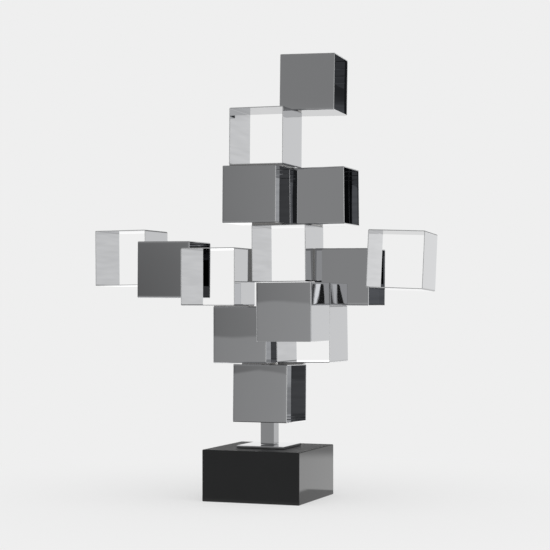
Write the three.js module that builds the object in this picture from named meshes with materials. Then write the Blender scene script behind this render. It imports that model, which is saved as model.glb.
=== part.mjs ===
// Abstract metal sculpture: short lengths of mirror-polished square steel tube,
// welded edge to edge in a loose cross and carried by a square stem on a black base.
// Millimetres, +Z up, X to the viewer's right and Y away from the viewer. The origin
// is the middle of the base's underside.

import * as THREE from 'three';

// The tube: three-inch square section with rounded corners, cut about as long as wide
const TUBE_SIDE = 76;
const TUBE_WALL = 1.2;
const TUBE_CORNER = 1.8;
const TUBE_LENGTH = 75.5;
const UPRIGHT_LENGTH = 77;
const CORNER_STEPS = 6;

// Welded neighbours stand this far apart, the width of the weld
const WELD_GAP = 0.3;

// The base block, the plate bolted on it and the square stem
const BASE_WIDTH = 135;
const BASE_DEPTH = 139;
const BASE_HEIGHT = 68;
const PLATE_SIDE = 67;
const PLATE_THICKNESS = 3.2;
const STEM_SIDE = 19;
const STEM_HEIGHT = 30;

// How far the middle of each tube stands behind the middle of the base
const SETBACK = {
  foot: -6,
  lowerLeft: 23,
  lowerRight: 61,
  centre: 27,
  leftInner: -31,
  leftMiddle: -1,
  leftOuter: 27,
  rightOuter: 37,
  upperLeft: 7,
  upperRight: 54,
  neck: 9,
  top: 68,
};

// Heights of the tubes that hang on a neighbour's side, from the ground to their middle
const HEIGHT = { upright: 248, leftMiddle: 304.5, leftOuter: 321.5, rightOuter: 315.5 };

// Sideways places that no neighbour sets, from the middle of the base
const SIDEWAYS = { foot: 3.7, stack: 40, centre: 17, seam: 21.3, neck: -8, top: 40 };

const steel = () => new THREE.MeshStandardMaterial({ color: 0xc9cbcd, roughness: 0.04, metalness: 1 });
const lacquer = () => new THREE.MeshStandardMaterial({ color: 0x08090a, roughness: 0.1, metalness: 0 });

const sculpture = new THREE.Group();

function addMesh(name, geometry, material) {
  const mesh = new THREE.Mesh(geometry, material);
  mesh.name = name;
  sculpture.add(mesh);
  return mesh;
}

// A square outline with round corners, centred on the origin
function roundedSquare(Outline, side, radius) {
  const half = side / 2;
  const middle = half - radius;
  const outline = new Outline();
  outline.moveTo(half, -middle);
  outline.lineTo(half, middle);
  outline.absarc(middle, middle, radius, 0, Math.PI / 2);
  outline.lineTo(-middle, half);
  outline.absarc(-middle, middle, radius, Math.PI / 2, Math.PI);
  outline.lineTo(-half, -middle);
  outline.absarc(-middle, -middle, radius, Math.PI, 1.5 * Math.PI);
  outline.lineTo(middle, -half);
  outline.absarc(middle, -middle, radius, 1.5 * Math.PI, 2 * Math.PI);
  return outline;
}

// A length of tube centred on the origin, with its bore along x, y or z
function tubeGeometry(bore, length) {
  const section = roundedSquare(THREE.Shape, TUBE_SIDE, TUBE_CORNER);
  section.holes.push(roundedSquare(THREE.Path, TUBE_SIDE - 2 * TUBE_WALL, TUBE_CORNER - TUBE_WALL));
  const geometry = new THREE.ExtrudeGeometry(section, {
    depth: length,
    bevelEnabled: false,
    curveSegments: CORNER_STEPS,
  });
  geometry.translate(0, 0, -length / 2);
  if (bore === 'x') geometry.rotateY(Math.PI / 2);
  if (bore === 'y') geometry.rotateX(Math.PI / 2);
  return geometry;
}

// The tubes were set by eye, so each is off square by up to a few degrees: turned about
// Z, leaning to the right about Y, and tipped about X
function addTube(name, bore, { turn = 0, lean = 0, tip = 0 }, length = TUBE_LENGTH) {
  const tube = addMesh(name, tubeGeometry(bore, length), steel());
  const [x, y, z] = [tip, lean, turn].map(THREE.MathUtils.degToRad);
  tube.rotation.set(x, y, z, 'ZYX');
  return tube;
}

// How far a placed piece reaches from its middle along an axis, with its turn counted
function reach(mesh, axis) {
  mesh.updateMatrix();
  mesh.geometry.computeBoundingBox();
  const half = mesh.geometry.boundingBox.getSize(new THREE.Vector3()).multiplyScalar(0.5);
  const row = { x: 0, y: 1, z: 2 }[axis];
  const m = mesh.matrix.elements;
  return Math.abs(m[row]) * half.x + Math.abs(m[row + 4]) * half.y + Math.abs(m[row + 8]) * half.z;
}

// A neighbour's name for each side that a piece can be welded to
const SIDES = {
  on: ['z', 1],
  rightOf: ['x', 1],
  leftOf: ['x', -1],
  inFrontOf: ['y', -1],
};

// Puts a piece against its neighbours, and at a plain coordinate along the other axes.
// Tilted neighbours meet only once their boxes overlap, and closer says by how much they
// may. Below zero it leaves room for a thicker weld
function place(mesh, spot, closer = {}) {
  for (const [word, value] of Object.entries(spot)) {
    if (word in SIDES) {
      const [axis, side] = SIDES[word];
      const apart = reach(value, axis) + reach(mesh, axis) + WELD_GAP - (closer[word] ?? 0);
      mesh.position[axis] = value.position[axis] + side * apart;
    } else {
      mesh.position[word] = value;
    }
  }
}

// Base, plate and stem
const base = addMesh('base', new THREE.BoxGeometry(BASE_WIDTH, BASE_DEPTH, BASE_HEIGHT), lacquer());
place(base, { z: BASE_HEIGHT / 2 });

const plate = addMesh(
  'foot_plate',
  new THREE.BoxGeometry(PLATE_SIDE, PLATE_SIDE, PLATE_THICKNESS),
  steel(),
);
place(plate, { on: base });

const stem = addMesh('stem', new THREE.BoxGeometry(STEM_SIDE, STEM_SIDE, STEM_HEIGHT), steel());
place(stem, { on: plate, x: 1 });

// The foot tube stands on the stem and carries the two lower tubes
const foot = addTube('foot_tube', 'x', { turn: -0.2, tip: -1.2 });
place(foot, { on: stem, x: SIDEWAYS.foot, y: SETBACK.foot }, { on: 0.4 });

const lowerRight = addTube('lower_right_tube', 'y', { turn: -0.4, lean: -0.8 });
place(lowerRight, { on: foot, x: SIDEWAYS.stack, y: SETBACK.lowerRight }, { on: 0.4 });

const lowerLeft = addTube('lower_left_tube', 'x', { turn: 0.3, lean: -0.3, tip: -0.6 });
place(lowerLeft, { on: foot, leftOf: lowerRight, y: SETBACK.lowerLeft }, { on: 1.3, leftOf: 0.6 });

// The upright tube stands in front of the lower right one, with its bore up and down
const upright = addTube('front_upright_tube', 'z', { lean: -0.3 }, UPRIGHT_LENGTH);
place(upright, { inFrontOf: lowerRight, rightOf: lowerLeft, z: HEIGHT.upright });

// The centre of the cross
const centre = addTube('centre_tube', 'y', { turn: 0.6, lean: -0.5 });
place(centre, { on: upright, x: SIDEWAYS.centre, y: SETBACK.centre }, { on: -0.3 });

// The left arm steps up as it goes out
const leftInner = addTube('left_arm_inner_tube', 'y', { turn: 0.8 });
place(leftInner, { on: lowerLeft, leftOf: centre, y: SETBACK.leftInner }, { on: -0.4 });

const leftMiddle = addTube('left_arm_middle_tube', 'x', { turn: 0.6, lean: 0.4 });
place(leftMiddle, { leftOf: leftInner, y: SETBACK.leftMiddle, z: HEIGHT.leftMiddle }, { leftOf: 0.4 });

const leftOuter = addTube('left_arm_outer_tube', 'y', { turn: 0.4, lean: -0.5 });
place(leftOuter, { leftOf: leftMiddle, y: SETBACK.leftOuter, z: HEIGHT.leftOuter }, { leftOf: 0.3 });

// The right arm
const rightInner = addTube('right_arm_inner_tube', 'x', { lean: 0.4 });
place(rightInner, { on: lowerRight, rightOf: centre, y: SETBACK.lowerRight }, { on: 0.35 });

const rightOuter = addTube('right_arm_outer_tube', 'y', { turn: 2.6, lean: 2.1, tip: -1.8 });
place(rightOuter, { rightOf: rightInner, y: SETBACK.rightOuter, z: HEIGHT.rightOuter });

// The head: two tubes end to end, a see-through one across them and one on top
const upperLeft = addTube('upper_left_tube', 'x', { turn: 0.4, lean: 0.4 });
place(upperLeft, { on: centre, y: SETBACK.upperLeft }, { on: -1.3 });
upperLeft.position.x = SIDEWAYS.seam - WELD_GAP / 2 - reach(upperLeft, 'x');

const upperRight = addTube('upper_right_tube', 'x', { turn: 2.2, lean: -0.6 });
place(upperRight, { on: centre, rightOf: upperLeft, y: SETBACK.upperRight }, { on: 0.25, rightOf: 0.9 });

const neck = addTube('neck_tube', 'y', { turn: 0.4, lean: 0.3, tip: -0.4 });
place(neck, { on: upperLeft, x: SIDEWAYS.neck, y: SETBACK.neck }, { on: 0.45 });

const top = addTube('top_tube', 'x', { turn: 4.5, lean: 0.8 });
place(top, { on: neck, x: SIDEWAYS.top, y: SETBACK.top }, { on: 1.1 });

export default sculpture;
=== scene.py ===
# Abstract metal sculpture: short lengths of mirror-polished square steel tube, welded
# edge to edge in a loose cross, on a square stem, a plate and a gloss black block.
# Metres, +Z up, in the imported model's frame. Angles are degrees.

import math

import bmesh
import bpy
from mathutils import Euler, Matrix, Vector


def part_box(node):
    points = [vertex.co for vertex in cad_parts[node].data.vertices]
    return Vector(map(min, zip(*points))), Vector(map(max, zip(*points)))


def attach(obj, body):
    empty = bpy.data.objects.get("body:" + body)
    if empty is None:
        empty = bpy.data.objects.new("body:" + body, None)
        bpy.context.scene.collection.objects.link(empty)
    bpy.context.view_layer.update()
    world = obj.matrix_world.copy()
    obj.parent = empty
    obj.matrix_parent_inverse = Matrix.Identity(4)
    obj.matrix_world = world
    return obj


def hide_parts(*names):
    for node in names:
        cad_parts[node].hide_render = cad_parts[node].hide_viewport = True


MM = 0.001

# The tube: its section, its cut lengths, and how far a wall sinks at its middle
TUBE_SIDE = 76 * MM
TUBE_WALL = 1.2 * MM
TUBE_CORNER = 1.8 * MM
TUBE_LENGTH = 75.5 * MM
UPRIGHT_LENGTH = 77 * MM
CORNER_SEGMENTS = 6
SAWN_ROUND = 0.57 * MM
SAWN_SEGMENTS = 4
WALL_SINK = 0.035 * MM
SINK_REACH = 41 * MM
SINK_CUTS = [13 * MM, 26 * MM, 34 * MM]

# The weld between the head's two tubes drew in the front wall of the right one at its end: by
# how much at the edge, how far the edge counts from the end and from the front, and how far
# the pull reaches from there
DRAWN_IN_TUBE = "upper_right_tube"
DRAWN_IN = 0.42 * MM
DRAWN_IN_EDGE = (1 * MM, 1.5 * MM)
DRAWN_IN_REACH = 28 * MM

# Edges broken by hand on the stem, the plate and the block
STEM_EDGE = 0.8 * MM
PLATE_EDGE = 0.4 * MM
BLOCK_EDGE = 1.3 * MM
EDGE_SEGMENTS = 3

# Faces that meet at less than this angle are shaded as one surface, and places closer than a
# hair are taken as one place
SMOOTH_BELOW = 32
HAIR = 0.01 * MM

# An edge or a normal lies along an axis when at least this share of its length does, and the
# top of the block takes in the faces of its round down to the lower share. A tube's faces are
# in the bore or on the rim up to a little past the size of the wall or of the rim's round
SQUARE_ON = 0.99
TOP_AND_ROUND = 0.9
PAST_BORE = 0.1 * MM
PAST_ROUND = 1.5

# Each tube's bore axis, and how far it is off square: turned about Z, leaning to the
# right about Y, and tipped about X
TUBES = {
    "foot_tube": ("x", -0.2, 0, -1.3),
    "lower_right_tube": ("y", -0.4, -0.8, 0),
    "lower_left_tube": ("x", 0.3, -0.3, -0.6),
    "front_upright_tube": ("z", 0, -0.3, 0),
    "centre_tube": ("y", 0.6, -0.5, 0),
    "left_arm_inner_tube": ("y", 0.8, 0, 0),
    "left_arm_middle_tube": ("x", 0.6, 0.4, 0),
    "left_arm_outer_tube": ("y", 0.4, -0.5, 0),
    "right_arm_inner_tube": ("x", 0, 0.4, 0),
    "right_arm_outer_tube": ("y", 2.6, 2.1, -1.8),
    "upper_left_tube": ("x", 0.4, 0.4, 0),
    "upper_right_tube": ("x", 2.2, -0.6, 0),
    "neck_tube": ("y", 0.4, 0.3, -0.4),
    "top_tube": ("x", 4.5, 0.8, 0),
}

# Neighbours with a weld that shows, the one on the far side along the axis second. The bead
# stays inside their edges, further in where a tube is off square, and bites into both
WELDS = [
    ("foot_tube", "lower_left_tube", "z"),
    ("foot_tube", "lower_right_tube", "z"),
    ("lower_left_tube", "left_arm_inner_tube", "z"),
    ("lower_right_tube", "right_arm_inner_tube", "z"),
    ("centre_tube", "upper_left_tube", "z"),
    ("centre_tube", "upper_right_tube", "z"),
    ("upper_left_tube", "neck_tube", "z"),
    ("neck_tube", "top_tube", "z"),
    ("lower_left_tube", "lower_right_tube", "x"),
    ("lower_left_tube", "front_upright_tube", "x"),
    ("left_arm_outer_tube", "left_arm_middle_tube", "x"),
    ("left_arm_middle_tube", "left_arm_inner_tube", "x"),
    ("left_arm_inner_tube", "centre_tube", "x"),
    ("centre_tube", "right_arm_inner_tube", "x"),
    ("right_arm_inner_tube", "right_arm_outer_tube", "x"),
    ("upper_left_tube", "upper_right_tube", "x"),
    ("front_upright_tube", "lower_right_tube", "y"),
    ("front_upright_tube", "right_arm_inner_tube", "y"),
]
WELD_INSET = 0.35 * MM
WELD_BITE = 0.3 * MM
SHORTEST_WELD = 5 * MM

# The steel's tints inside the tubes, the dimmest and the brightest, and the share of the light
# that the plate gives back at a low angle. The "buffed" pair is the same steel painted brighter,
# for the bores that are seen through: painted light for the brighter room that they reflect
BORE_TINTS_WITH_PAINTED_LIGHT = {"drawn": ("#b3b4b6", "#bbbcbe"), "buffed": ("#bebfc1", "#c7c8ca")}
# The plate's reflections at a low angle are painted dimmer than the tubes': painted shade for less
# light from the bright wall behind it
PLATE_LOW_ANGLE_PAINTED_DIM = 0.7

# The streaks in a bore are this many times as long as they are wide
STREAK_STRETCH = 12

# The lacquer, rubbed and as it dried: its roughness, from place to place, and its shine
GLOSS = ((0.05, 0.1), 0.5)
SATIN = ((0.35, 0.45), 0.42)

# The camera stands to the right of the front and looks level
EYE_TURN = 20.45
EYE_DISTANCE = 2.2147
EYE_ASIDE = 0.008
EYE_HEIGHT = 0.2589
LENS = 108.73
FRAME_SHIFT = 0.0520

# The round floor, and how often light may bounce from wall to wall inside a tube
STAGE_RADIUS = 3
STAGE_SIDES = 96
BOUNCES = 12

# Light levels, with 1 as paper white: the plain ground that the camera sees, and the walls,
# the ceiling and the table that only the polished faces see
PALE = 0.863
WALL_BACK_LEFT = 1.3
WALL_BACK_RIGHT = 0.9
WALL_FRONT_LEFT = (0.17, 0.245)
WALL_FRONT_RIGHT = 0.37
CEILING = 0.33
ZENITH = 0.5
GROUND_FRONT = 0.40
GROUND_FRONT_LEFT = 0.33
GROUND_FRONT_RIGHT = 0.46
GROUND_BACK = 0.8
TABLE = 1.4
TABLE_END = 0.72
TABLE_SHADE = 0.62
SOFTBOX_TILT = (12, 10)
SOFTBOX_SPREAD = 80
SOFTBOX_LEVEL = 2.0

# Where one level gives way to the next on the floor and the table, in distances from the
# middle: the floor melts into the plain ground, from the first share of it to the second, the
# block's shade ends, the table falls off and the far ground takes over. The front edge is a
# place along Y
FLOOR_FADE = (0, 0.6)
FLOOR_MELT = (0.6, 1)
SHADE_EDGE = (0.118, 0.13)
TABLE_FALLS_OFF = (0.6, 0.8)
GROUND_TAKES_OVER = (1.2, 2.6)
TABLE_FRONT_EDGE = (-0.12, -0.09)

# Where they do so in the room, as parts of a reflected ray's direction: how much it faces the
# front, whose middle is a few degrees to the left, how far it goes to the right, or rises
FRONT_TURN = 10
FRONT_EDGE = (0.35, 0.7)
ROOM_CORNER = (-0.42, -0.31)
BACK_SPREAD = (-0.45, 0.45)
LEFT_WALL_RISE = (0, 0.07)
WALL_TOP = (0.105, 0.125)
ZENITH_SPREAD = (0.7, 1)
BACK_WALL_FOOT = (-0.03, -0.07)
HORIZON = (-0.001, 0.001)

# What stands round the camera. It shows only in the corner where the upright tube meets the
# right arm: a pale card and, before it, the legs of stands with a lamp between them. Each is
# left and right at its top, left and right at its bottom, in mm from the lens, and a level
CARD = (-62, 62, -62, 62, 0.72)
CARD_SPAN = (232 * MM, 420 * MM)
STANDS = {
    "near leg": (19, 25.2, 17.3, 35.6, 0.03),
    "lamp": (25.6, 36.2, 38.8, 40.2, 1.9),
    "dim leg": (38.5, 43, 43, 54, 0.12),
    "far leg": (-27, -21.7, -38, -22.7, 0.03),
    "second lamp": (-21, -10.5, -20, -19, 1.1),
    "thin leg": (-5, -0.5, -17, -0.5, 0.15),
}
STAND_SPAN = (236 * MM, 328 * MM)
STANDS_AHEAD = 1 * MM


def linear(colour):
    """An sRGB hex colour as linear light."""
    parts = [int(colour[i:i + 2], 16) / 255 for i in (1, 3, 5)]
    return [p / 12.92 if p <= 0.04045 else ((p + 0.055) / 1.055) ** 2.4 for p in parts] + [1.0]


def add_node(tree, kind, inputs=None, **settings):
    """Adds a node. An input that is another node's output is linked to it."""
    node = tree.nodes.new("ShaderNode" + kind)
    for name, value in settings.items():
        setattr(node, name, value)
    for name, value in (inputs or {}).items():
        if isinstance(value, bpy.types.NodeSocket):
            tree.links.new(value, node.inputs[name])
        else:
            node.inputs[name].default_value = value
    return node


def new_material(name):
    """An empty material, its node tree, and Object coordinates to draw patterns on."""
    material = bpy.data.materials.new(name)
    material.use_nodes = True
    tree = material.node_tree
    tree.nodes.clear()
    place = add_node(tree, "TexCoord").outputs["Object"]
    return material, tree, place


def close_material(tree, shader):
    """Joins the shader to the material's output."""
    add_node(tree, "OutputMaterial", {"Surface": shader.outputs[0]})


def mirror_polished_steel(name, low_angle):
    """Stainless steel buffed to a mirror. Its surface swells and sinks by hundredths of a
    millimetre, so straight reflections bend a little, and buffing leaves a faint haze. At a low
    angle it gives back the given share of the light."""
    material, tree, place = new_material(name)
    sway = add_node(tree, "TexNoise", {"Vector": place, "Scale": 1 / (60 * MM), "Detail": 0})
    haze = add_node(tree, "TexNoise", {"Vector": place, "Scale": 1 / (25 * MM), "Detail": 3})
    rough = add_node(tree, "MapRange", {
        "Value": haze.outputs["Fac"],
        "From Min": 0.3,
        "From Max": 0.8,
        "To Min": 0.004,
        "To Max": 0.014,
    })
    bump = add_node(tree, "Bump", {
        "Height": sway.outputs["Fac"], "Strength": 1, "Distance": 0.03 * MM,
    })
    shader = add_node(tree, "BsdfPrincipled", {
        "Base Color": linear("#c3c4c6"),
        "Metallic": 1,
        "Roughness": rough.outputs["Result"],
        "Specular Tint": [low_angle, low_angle, low_angle, 1],
        "Normal": bump.outputs["Normal"],
    })
    close_material(tree, shader)
    return material


def drawn_bore(axis):
    """The inside of the tube, bright as it was drawn: a shade darker than the buffed outside,
    with long soft streaks along the bore. In the tubes that are seen through, with their bores
    front to back, the same steel is painted brighter: painted light for the brighter room that
    these bores reflect."""
    material, tree, place = new_material(f"bright drawn bore along {axis}")
    stretch = [1 if a == axis else STREAK_STRETCH for a in "xyz"]
    lengthways = add_node(tree, "Mapping", {"Vector": place, "Scale": stretch})
    streaks = add_node(tree, "TexNoise", {
        "Vector": lengthways.outputs["Vector"], "Scale": 1 / (70 * MM), "Detail": 1,
    })
    tone = add_node(tree, "MapRange", {
        "Value": streaks.outputs["Fac"], "From Min": 0.3, "From Max": 0.7,
    })
    # The bores seen through, along y, take the pair painted brighter, as painted light for the
    # brighter room they reflect
    dim, bright = BORE_TINTS_WITH_PAINTED_LIGHT["buffed" if axis == "y" else "drawn"]
    colour = add_node(tree, "Mix", {
        "Factor": tone.outputs["Result"], "A": linear(dim), "B": linear(bright),
    }, data_type="RGBA")
    bump = add_node(tree, "Bump", {
        "Height": streaks.outputs["Fac"], "Strength": 1, "Distance": 0.003 * MM,
    })
    shader = add_node(tree, "BsdfPrincipled", {
        "Base Color": colour.outputs["Result"],
        "Metallic": 1,
        "Roughness": 0.006,
        "Normal": bump.outputs["Normal"],
    })
    close_material(tree, shader)
    return material


def sawn_steel_painted_highlight():
    """The cut ends of the tube, filed round and buffed: a soft sheen with fine marks, in steel
    painted paler than the tubes', a painted highlight for the light that the rims catch from
    above.
    """
    material, tree, place = new_material("filed steel edge")
    marks = add_node(tree, "TexNoise", {"Vector": place, "Scale": 1 / (0.8 * MM), "Detail": 1})
    rough = add_node(tree, "MapRange", {
        "Value": marks.outputs["Fac"], "To Min": 0.12, "To Max": 0.22,
    })
    shader = add_node(tree, "BsdfPrincipled", {
        # Paler than the polished tubes: a painted highlight on the rims
        "Base Color": linear("#e8e9ea"),
        "Metallic": 1,
        "Roughness": rough.outputs["Result"],
    })
    close_material(tree, shader)
    return material


def black_lacquer(rub, roughness, specular):
    """Black lacquer on a wooden block: nearly black face on, and brighter at a low angle. The
    sides are rubbed to a gloss and the top is left satin."""
    material, tree, place = new_material(f"{rub} black lacquer")
    peel = add_node(tree, "TexNoise", {"Vector": place, "Scale": 1 / (9 * MM), "Detail": 1})
    cloud = add_node(tree, "TexNoise", {"Vector": place, "Scale": 1 / (30 * MM), "Detail": 2})
    rough = add_node(tree, "MapRange", {
        "Value": cloud.outputs["Fac"], "To Min": roughness[0], "To Max": roughness[1],
    })
    tint = add_node(tree, "Mix", {
        "Factor": cloud.outputs["Fac"], "A": linear("#0f1011"), "B": linear("#161718"),
    }, data_type="RGBA")
    bump = add_node(tree, "Bump", {
        "Height": peel.outputs["Fac"], "Strength": 1, "Distance": 0.01 * MM,
    })
    shader = add_node(tree, "BsdfPrincipled", {
        "Base Color": tint.outputs["Result"],
        "Metallic": 0,
        "Roughness": rough.outputs["Result"],
        "IOR": 1.5,
        "Specular IOR Level": specular,
        "Normal": bump.outputs["Normal"],
    })
    close_material(tree, shader)
    return material


def pick(kind, test):
    """Selects the faces, edges or corners of the mesh being edited that pass the test."""
    mesh = bmesh.from_edit_mesh(bpy.context.object.data)
    bpy.ops.mesh.select_mode(type=kind)
    bpy.ops.mesh.select_all(action="DESELECT")
    for part in {"VERT": mesh.verts, "EDGE": mesh.edges, "FACE": mesh.faces}[kind]:
        if test(part):
            part.select_set(True)
    mesh.select_flush_mode()
    bmesh.update_edit_mesh(bpy.context.object.data)


def start_block(name, size):
    """A block of the given size round the origin, open for shaping."""
    bpy.ops.object.select_all(action="DESELECT")
    bpy.ops.mesh.primitive_cube_add(size=1, scale=size)
    block = bpy.context.object
    block.name = block.data.name = name
    bpy.ops.object.mode_set(mode="EDIT")
    return block


def along(edge, axis):
    """True for a straight edge that runs along the axis."""
    run = edge.verts[1].co - edge.verts[0].co
    return abs(run[axis]) > SQUARE_ON * run.length


def square_tube(length):
    """A length of tube standing on its end round the origin: a block with its long edges
    rounded, its ends inset by the wall and the two insets bridged to open the bore."""
    tube = start_block("tube pattern", (TUBE_SIDE, TUBE_SIDE, length))
    end = length / 2 - HAIR
    pick("EDGE", lambda edge: along(edge, 2))
    bpy.ops.mesh.bevel(offset=TUBE_CORNER, segments=CORNER_SEGMENTS, affect="EDGES")
    pick("FACE", lambda face: abs(face.normal.z) > SQUARE_ON)
    bpy.ops.mesh.inset(thickness=TUBE_WALL)
    bpy.ops.mesh.bridge_edge_loops()
    pick("EDGE", lambda edge: all(abs(v.co.z) > end for v in edge.verts) and not across_rim(edge))
    bpy.ops.mesh.bevel(offset=SAWN_ROUND, segments=SAWN_SEGMENTS, affect="EDGES")
    sink_walls()
    assign_slots(length)
    bpy.ops.object.mode_set(mode="OBJECT")
    return tube


def across_rim(edge):
    """True for an edge that joins the outside of the rim to the bore."""
    outer, inner = sorted((v.co.xy.length for v in edge.verts), reverse=True)
    return edge.calc_length() < 2 * TUBE_WALL and outer - inner > TUBE_WALL / 2


def sink_walls():
    """Cuts the walls into a grid and draws the middle of each one in a little."""
    for axis in range(3):
        square = [1 if a == axis else 0 for a in range(3)]
        for station in [0] + SINK_CUTS + [-cut for cut in SINK_CUTS]:
            bpy.ops.mesh.select_all(action="SELECT")
            bpy.ops.mesh.bisect(plane_co=[station * s for s in square], plane_no=square)
    for side in ((1, 0), (-1, 0), (0, 1), (0, -1)):
        out = Vector((*side, 0))
        pick("VERT", lambda v: (v.co - out * v.co.dot(out)).length < HAIR and v.co.dot(out) > 0)
        bpy.ops.transform.translate(
            value=-out * WALL_SINK,
            use_proportional_edit=True,
            proportional_edit_falloff="SMOOTH",
            proportional_size=SINK_REACH,
        )


def assign_slots(length):
    """Gives the outside the first finish, the bore the second and the sawn ends the third."""
    tube = bpy.context.object
    bore = TUBE_SIDE / 2 - TUBE_WALL + PAST_BORE
    end = length / 2 - PAST_ROUND * SAWN_ROUND
    tests = [
        lambda face: True,
        lambda face: max(abs(c) for c in face.calc_center_median().xy) < bore,
        lambda face: abs(face.calc_center_median().z) > end,
    ]
    for number, test in enumerate(tests):
        tube.data.materials.append(None)
        pick("FACE", test)
        tube.active_material_index = number
        bpy.ops.object.material_slot_assign()


def smooth_normals(piece):
    """Shades the rounds smooth and keeps the flats flat."""
    bpy.ops.object.select_all(action="DESELECT")
    piece.select_set(True)
    bpy.context.view_layer.objects.active = piece
    bpy.ops.object.shade_smooth_by_angle(angle=math.radians(SMOOTH_BELOW))
    weigh = piece.modifiers.new("Flat faces lead", "WEIGHTED_NORMAL")
    weigh.keep_sharp = True
    bpy.ops.object.modifier_apply(modifier=weigh.name)


def lay(piece, rotation, middle):
    """Turns the piece, moves it to its place and bakes both into its mesh."""
    bpy.ops.object.select_all(action="DESELECT")
    piece.select_set(True)
    bpy.context.view_layer.objects.active = piece
    piece.rotation_euler = [math.radians(angle) for angle in rotation]
    piece.location = middle
    bpy.ops.object.transform_apply(location=True, rotation=True, scale=True)


def stand_for(piece, cad_name):
    """The piece takes the place of a CAD solid."""
    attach(piece, "root")
    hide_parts(cad_name)


def middle_of(cad_name):
    """The middle of a CAD solid's box."""
    low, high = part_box(cad_name)
    return (low + high) / 2


def draw_in_front_wall():
    """Draws the front wall of a tube that lies along x in at its left end, most at the edge."""
    end, front = TUBE_LENGTH / 2, TUBE_SIDE / 2
    near_end, near_front = DRAWN_IN_EDGE
    bpy.ops.object.mode_set(mode="EDIT")
    pick("VERT", lambda v: end + v.co.x < near_end and front + v.co.y < near_front)
    bpy.ops.transform.translate(
        value=(0, DRAWN_IN, 0),
        use_proportional_edit=True,
        proportional_edit_falloff="SMOOTH",
        proportional_size=DRAWN_IN_REACH,
    )
    bpy.ops.object.mode_set(mode="OBJECT")


def add_tubes(outside, bores, ends):
    """Copies the tube patterns to their places."""
    patterns = {length: square_tube(length) for length in (TUBE_LENGTH, UPRIGHT_LENGTH)}
    lay_down = {"x": (0, 90, 0), "y": (90, 0, 0), "z": (0, 0, 0)}
    for cad_name, (bore, turn, lean, tip) in TUBES.items():
        pattern = patterns[UPRIGHT_LENGTH if bore == "z" else TUBE_LENGTH]
        tube = pattern.copy()
        tube.data = pattern.data.copy()
        tube.name = tube.data.name = f"polished_{cad_name}"
        bpy.context.scene.collection.objects.link(tube)
        for number, finish in enumerate((outside, bores[bore], ends)):
            tube.data.materials[number] = finish
        lay(tube, lay_down[bore], (0, 0, 0))
        if cad_name == DRAWN_IN_TUBE:
            draw_in_front_wall()
        lay(tube, (tip, lean, turn), middle_of(cad_name))
        smooth_normals(tube)
        stand_for(tube, cad_name)
    for pattern in patterns.values():
        bpy.data.objects.remove(pattern)


def add_block(name, cad_name, edge, finish, top=None):
    """A block with its edges broken, in the place of a CAD solid, and its top in a finish of its
    own where one is given."""
    low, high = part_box(cad_name)
    block = start_block(name, high - low)
    bpy.ops.mesh.select_all(action="SELECT")
    bpy.ops.mesh.bevel(offset=edge, segments=EDGE_SEGMENTS, affect="EDGES")
    block.data.materials.append(finish)
    if top:
        block.data.materials.append(top)
        pick("FACE", lambda face: face.normal.z > TOP_AND_ROUND)
        block.active_material_index = 1
        bpy.ops.object.material_slot_assign()
    bpy.ops.object.mode_set(mode="OBJECT")
    lay(block, (0, 0, 0), (low + high) / 2)
    smooth_normals(block)
    stand_for(block, cad_name)


def weld_metal():
    """Weld bead brushed back but not buffed: steel that is as pale as the tubes and duller."""
    material, tree, place = new_material("brushed weld bead")
    ripple = add_node(tree, "TexNoise", {"Vector": place, "Scale": 1 / (1.5 * MM), "Detail": 2})
    tint = add_node(tree, "Mix", {
        "Factor": ripple.outputs["Fac"], "A": linear("#b2b1af"), "B": linear("#c8c7c5"),
    }, data_type="RGBA")
    shader = add_node(tree, "BsdfPrincipled", {
        "Base Color": tint.outputs["Result"],
        "Metallic": 1,
        "Roughness": 0.35,
    })
    close_material(tree, shader)
    return material


def end_face(cad_name, axis, side):
    """The plane of a tube's face or cut end on the given side along an axis, as a point and a
    normal, and the rectangles of metal in it: the whole face, or the four walls of an open end."""
    bore, turn, lean, tip = TUBES[cad_name]
    length = UPRIGHT_LENGTH if bore == "z" else TUBE_LENGTH
    half = [length / 2 if a == bore else TUBE_SIDE / 2 for a in "xyz"]
    rotation = Euler([math.radians(angle) for angle in (tip, lean, turn)]).to_matrix()
    normal = rotation.col[axis] * side
    point = middle_of(cad_name) + normal * half[axis]
    across = [a for a in range(3) if a != axis]
    askew = math.radians(max(abs(turn), abs(lean), abs(tip)))
    inset = WELD_INSET + TUBE_SIDE / 2 * math.sin(askew)
    whole = [[point[a] - half[a] + inset, point[a] + half[a] - inset] for a in across]
    if "xyz"[axis] != bore:
        return point, normal, [whole]
    walls = []
    for number in (0, 1):
        for way in (-1, 1):
            wall = [list(span) for span in whole]
            outside = point[across[number]] + way * (half[across[number]] - WELD_BITE)
            inside = outside - way * (TUBE_WALL - 2 * WELD_BITE)
            wall[number] = sorted((outside, inside))
            walls.append(wall)
    return point, normal, walls


def add_welds(finish):
    """Fills the narrow gap between each two welded neighbours, a little inside their edges."""
    beads = []
    for first, second, letter in WELDS:
        axis = "xyz".index(letter)
        across = [a for a in range(3) if a != axis]
        near, far = end_face(first, axis, 1), end_face(second, axis, -1)
        for one in near[2]:
            for other in far[2]:
                shared = [(max(a[0], b[0]), min(a[1], b[1])) for a, b in zip(one, other)]
                widths = [high - low for low, high in shared]
                if min(widths) > WELD_BITE and max(widths) > SHORTEST_WELD:
                    beads.append(weld_bead(axis, across, shared, near, far))
    bpy.ops.object.select_all(action="DESELECT")
    for bead in beads:
        bead.select_set(True)
    bpy.context.view_layer.objects.active = beads[0]
    bpy.ops.object.join()
    seams = bpy.context.object
    seams.name = seams.data.name = "weld_seams"
    seams.data.materials.append(finish)
    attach(seams, "root")


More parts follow.
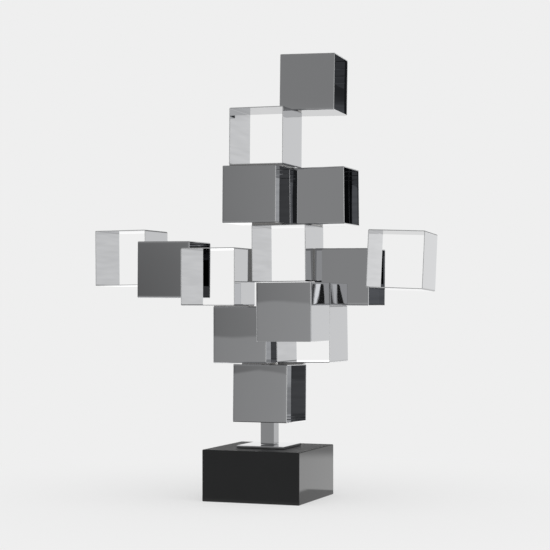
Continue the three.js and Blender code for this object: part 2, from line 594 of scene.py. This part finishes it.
def weld_bead(axis, across, shared, near, far):
    """A block over the shared rectangle, each of its corners moved along the axis to the face
    that it is welded to."""
    size, middle = [1, 1, 1], [0, 0, 0]
    for a, (low, high) in zip(across, shared):
        size[a], middle[a] = high - low, (high + low) / 2
    bpy.ops.object.select_all(action="DESELECT")
    bpy.ops.mesh.primitive_cube_add(size=1, scale=size)
    bead = bpy.context.object
    lay(bead, (0, 0, 0), middle)
    bpy.ops.object.mode_set(mode="EDIT")
    corners = [(v.co.copy(), near if v.co[axis] < 0 else far) for v in bead.data.vertices]
    for corner, (point, normal, _) in corners:
        pick("VERT", lambda v: (v.co - corner).length < HAIR)
        drop = sum(normal[a] * (corner[a] - point[a]) for a in across) / normal[axis]
        bite = math.copysign(WELD_BITE, corner[axis])
        move = Vector((0, 0, 0))
        move[axis] = point[axis] - drop + bite - corner[axis]
        bpy.ops.transform.translate(value=move)
    bpy.ops.object.mode_set(mode="OBJECT")
    return bead


def before_lens(ahead):
    """The spot on the ground below the lens, or ahead of it by the given distance."""
    turn = math.radians(EYE_TURN)
    back = Vector((math.sin(turn), -math.cos(turn), 0))
    right = Vector((math.cos(turn), math.sin(turn), 0))
    return back * (EYE_DISTANCE - ahead) + right * EYE_ASIDE


def add_camera():
    """The photograph's view."""
    bpy.ops.object.camera_add(
        location=before_lens(0) + Vector((0, 0, EYE_HEIGHT)),
        rotation=(math.radians(90), 0, math.radians(EYE_TURN)),
    )
    camera = bpy.context.object
    camera.data.lens = LENS
    camera.data.shift_y = FRAME_SHIFT
    bpy.context.scene.camera = camera


def seen_by_mirrors_only(thing):
    """Hides a thing from the camera and from the soft light, so that only reflections show it."""
    thing.visible_camera = False
    thing.visible_diffuse = False
    thing.visible_shadow = False


def add_disc(name, radius, level):
    """A flat round stage with an empty material."""
    bpy.ops.mesh.primitive_circle_add(
        vertices=STAGE_SIDES, radius=radius, fill_type="NGON", location=(0, 0, level),
    )
    disc = bpy.context.object
    disc.name = name
    material, tree, place = new_material(name)
    disc.data.materials.append(material)
    return disc, tree, place


def ramp(tree, value, span, levels=(0, 1)):
    """A smooth step from the first level to the second as the value goes along the span."""
    node = add_node(tree, "MapRange", {
        "Value": value,
        "From Min": span[0],
        "From Max": span[1],
        "To Min": levels[0],
        "To Max": levels[1],
    }, interpolation_type="SMOOTHSTEP")
    return node.outputs["Result"]


def blend(tree, factor, first, second):
    """A mix of two levels."""
    return add_node(tree, "Mix", {"Factor": factor, "A": first, "B": second}).outputs["Result"]


def add_floor():
    """A pale round floor that melts into the backdrop."""
    floor, tree, place = add_disc("pale floor", STAGE_RADIUS, 0)
    reach = add_node(tree, "VectorMath", {"Vector": place}, operation="LENGTH")
    fade = ramp(tree, reach.outputs["Value"], FLOOR_FADE, FLOOR_MELT)
    paper = add_node(tree, "BsdfDiffuse", {"Color": linear("#e6e6e6")})
    glow = add_node(tree, "Emission", {"Color": [PALE, PALE, PALE, 1]})
    shader = add_node(tree, "MixShader", {"Fac": fade})
    tree.links.new(paper.outputs[0], shader.inputs[1])
    tree.links.new(glow.outputs[0], shader.inputs[2])
    close_material(tree, shader)
    floor.visible_glossy = False


def add_table_glow():
    """What the polished faces see below them: a bright table behind and under the work, shaded
    close to the block, that ends just in front of it."""
    glow, tree, place = add_disc("table glow", STAGE_RADIUS, -1 * MM)
    spot = add_node(tree, "SeparateXYZ", {"Vector": place})
    reach = add_node(tree, "VectorMath", {"Vector": place}, operation="LENGTH").outputs["Value"]
    aside = add_node(tree, "Math", {0: spot.outputs["X"]}, operation="ABSOLUTE").outputs[0]
    behind = add_node(tree, "Math", {0: spot.outputs["Y"]}, operation="ABSOLUTE").outputs[0]
    clear = add_node(tree, "Math", {0: aside, 1: behind}, operation="MAXIMUM").outputs[0]
    near = ramp(tree, clear, SHADE_EDGE, (TABLE_SHADE, TABLE))
    table = blend(tree, ramp(tree, reach, TABLE_FALLS_OFF), near, TABLE_END)
    far = blend(tree, ramp(tree, reach, GROUND_TAKES_OVER), table, GROUND_BACK)
    level = blend(tree, ramp(tree, spot.outputs["Y"], TABLE_FRONT_EDGE), GROUND_FRONT, far)
    shader = add_node(tree, "Emission", {"Color": [1, 1, 1, 1], "Strength": level})
    close_material(tree, shader)
    seen_by_mirrors_only(glow)


def add_flag(name, shape, span, ahead):
    """A flat upright sheet beside the lens, facing the work, wider or narrower at its foot."""
    top_left, top_right, foot_left, foot_right, level = shape
    bpy.ops.object.select_all(action="DESELECT")
    bpy.ops.mesh.primitive_plane_add(size=2)
    flag = bpy.context.object
    flag.name = flag.data.name = name
    corners = {(-1, 1): top_left, (1, 1): top_right, (-1, -1): foot_left, (1, -1): foot_right}
    bpy.ops.object.mode_set(mode="EDIT")
    for (side, end), place in corners.items():
        pick("VERT", lambda v: (v.co - Vector((side, end, 0))).length < HAIR)
        height = span[1] if end > 0 else span[0]
        bpy.ops.transform.translate(value=(place * MM - side, height - end, 0))
    bpy.ops.object.mode_set(mode="OBJECT")
    lay(flag, (90, 0, EYE_TURN), before_lens(ahead))
    material, tree, _ = new_material(name)
    shader = add_node(tree, "Emission", {"Color": [1, 1, 1, 1], "Strength": level})
    close_material(tree, shader)
    flag.data.materials.append(material)
    seen_by_mirrors_only(flag)


def light_studio():
    """White walls behind and at the sides, a dim grey room on the camera's side and a grey
    ceiling, all round the work, and a wide soft light overhead."""
    world = bpy.data.worlds.new("studio")
    bpy.context.scene.world = world
    world.use_nodes = True
    tree = world.node_tree
    tree.nodes.clear()
    ray = add_node(tree, "TexCoord").outputs["Generated"]
    part = add_node(tree, "SeparateXYZ", {"Vector": ray})
    side, height = part.outputs["X"], part.outputs["Z"]
    turn = math.radians(FRONT_TURN)
    front = Vector((-math.sin(turn), -math.cos(turn), 0))
    facing = add_node(
        tree, "VectorMath", {0: ray, 1: front}, operation="DOT_PRODUCT",
    ).outputs["Value"]
    in_front = ramp(tree, facing, FRONT_EDGE)
    back_wall = ramp(tree, side, BACK_SPREAD, (WALL_BACK_LEFT, WALL_BACK_RIGHT))
    left_wall = ramp(tree, height, LEFT_WALL_RISE, WALL_FRONT_LEFT)
    front_wall = ramp(tree, side, ROOM_CORNER, (left_wall, WALL_FRONT_RIGHT))
    front_ground = ramp(tree, side, ROOM_CORNER, (GROUND_FRONT_LEFT, GROUND_FRONT_RIGHT))
    wall = blend(tree, in_front, back_wall, front_wall)
    roof = ramp(tree, height, ZENITH_SPREAD, (CEILING, ZENITH))
    upper = blend(tree, ramp(tree, height, WALL_TOP), wall, roof)
    back_ground = blend(tree, ramp(tree, height, BACK_WALL_FOOT), back_wall, GROUND_BACK)
    ground = blend(tree, in_front, back_ground, front_ground)
    room = blend(tree, ramp(tree, height, HORIZON), ground, upper)
    seen = add_node(tree, "LightPath").outputs["Is Camera Ray"]
    level = blend(tree, seen, room, PALE)
    sky = add_node(tree, "Background", {"Color": [1, 1, 1, 1], "Strength": level})
    add_node(tree, "OutputWorld", {"Surface": sky.outputs[0]})
    bpy.ops.object.light_add(
        type="SUN", rotation=[math.radians(angle) for angle in (*SOFTBOX_TILT, 0)],
    )
    sun = bpy.context.object
    sun.name = "overhead softbox"
    sun.data.angle = math.radians(SOFTBOX_SPREAD)
    sun.data.energy = SOFTBOX_LEVEL
    sun.visible_glossy = False


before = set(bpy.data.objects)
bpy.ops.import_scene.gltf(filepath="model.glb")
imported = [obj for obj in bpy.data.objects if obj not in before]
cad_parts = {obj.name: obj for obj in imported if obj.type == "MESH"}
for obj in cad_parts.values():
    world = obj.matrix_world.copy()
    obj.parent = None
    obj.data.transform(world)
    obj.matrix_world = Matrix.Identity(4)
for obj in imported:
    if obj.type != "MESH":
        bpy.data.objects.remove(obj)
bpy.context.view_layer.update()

polished = mirror_polished_steel("mirror polished stainless steel", 1)
bores = {axis: drawn_bore(axis) for axis in "xyz"}
add_tubes(polished, bores, sawn_steel_painted_highlight())
add_welds(weld_metal())
add_block("square_stem", "stem", STEM_EDGE, polished)
# The same polished steel for the plate, its low-angle reflection painted dimmer
plate_finish_painted_dim = mirror_polished_steel("hand polished steel plate", PLATE_LOW_ANGLE_PAINTED_DIM)
add_block("steel_foot_plate", "foot_plate", PLATE_EDGE, plate_finish_painted_dim)
gloss = black_lacquer("gloss", *GLOSS)
satin = black_lacquer("satin", *SATIN)
add_block("black_base_block", "base", BLOCK_EDGE, gloss, satin)

add_camera()
add_floor()
add_table_glow()
add_flag("pale card", CARD, CARD_SPAN, 0)
for name, shape in STANDS.items():
    add_flag(name, shape, STAND_SPAN, STANDS_AHEAD)
light_studio()
bpy.context.scene.view_settings.view_transform = "Standard"
bpy.context.scene.cycles.glossy_bounces = BOUNCES
bpy.context.scene.cycles.max_bounces = BOUNCES + 2
bpy.context.scene.cycles.min_light_bounces = BOUNCES
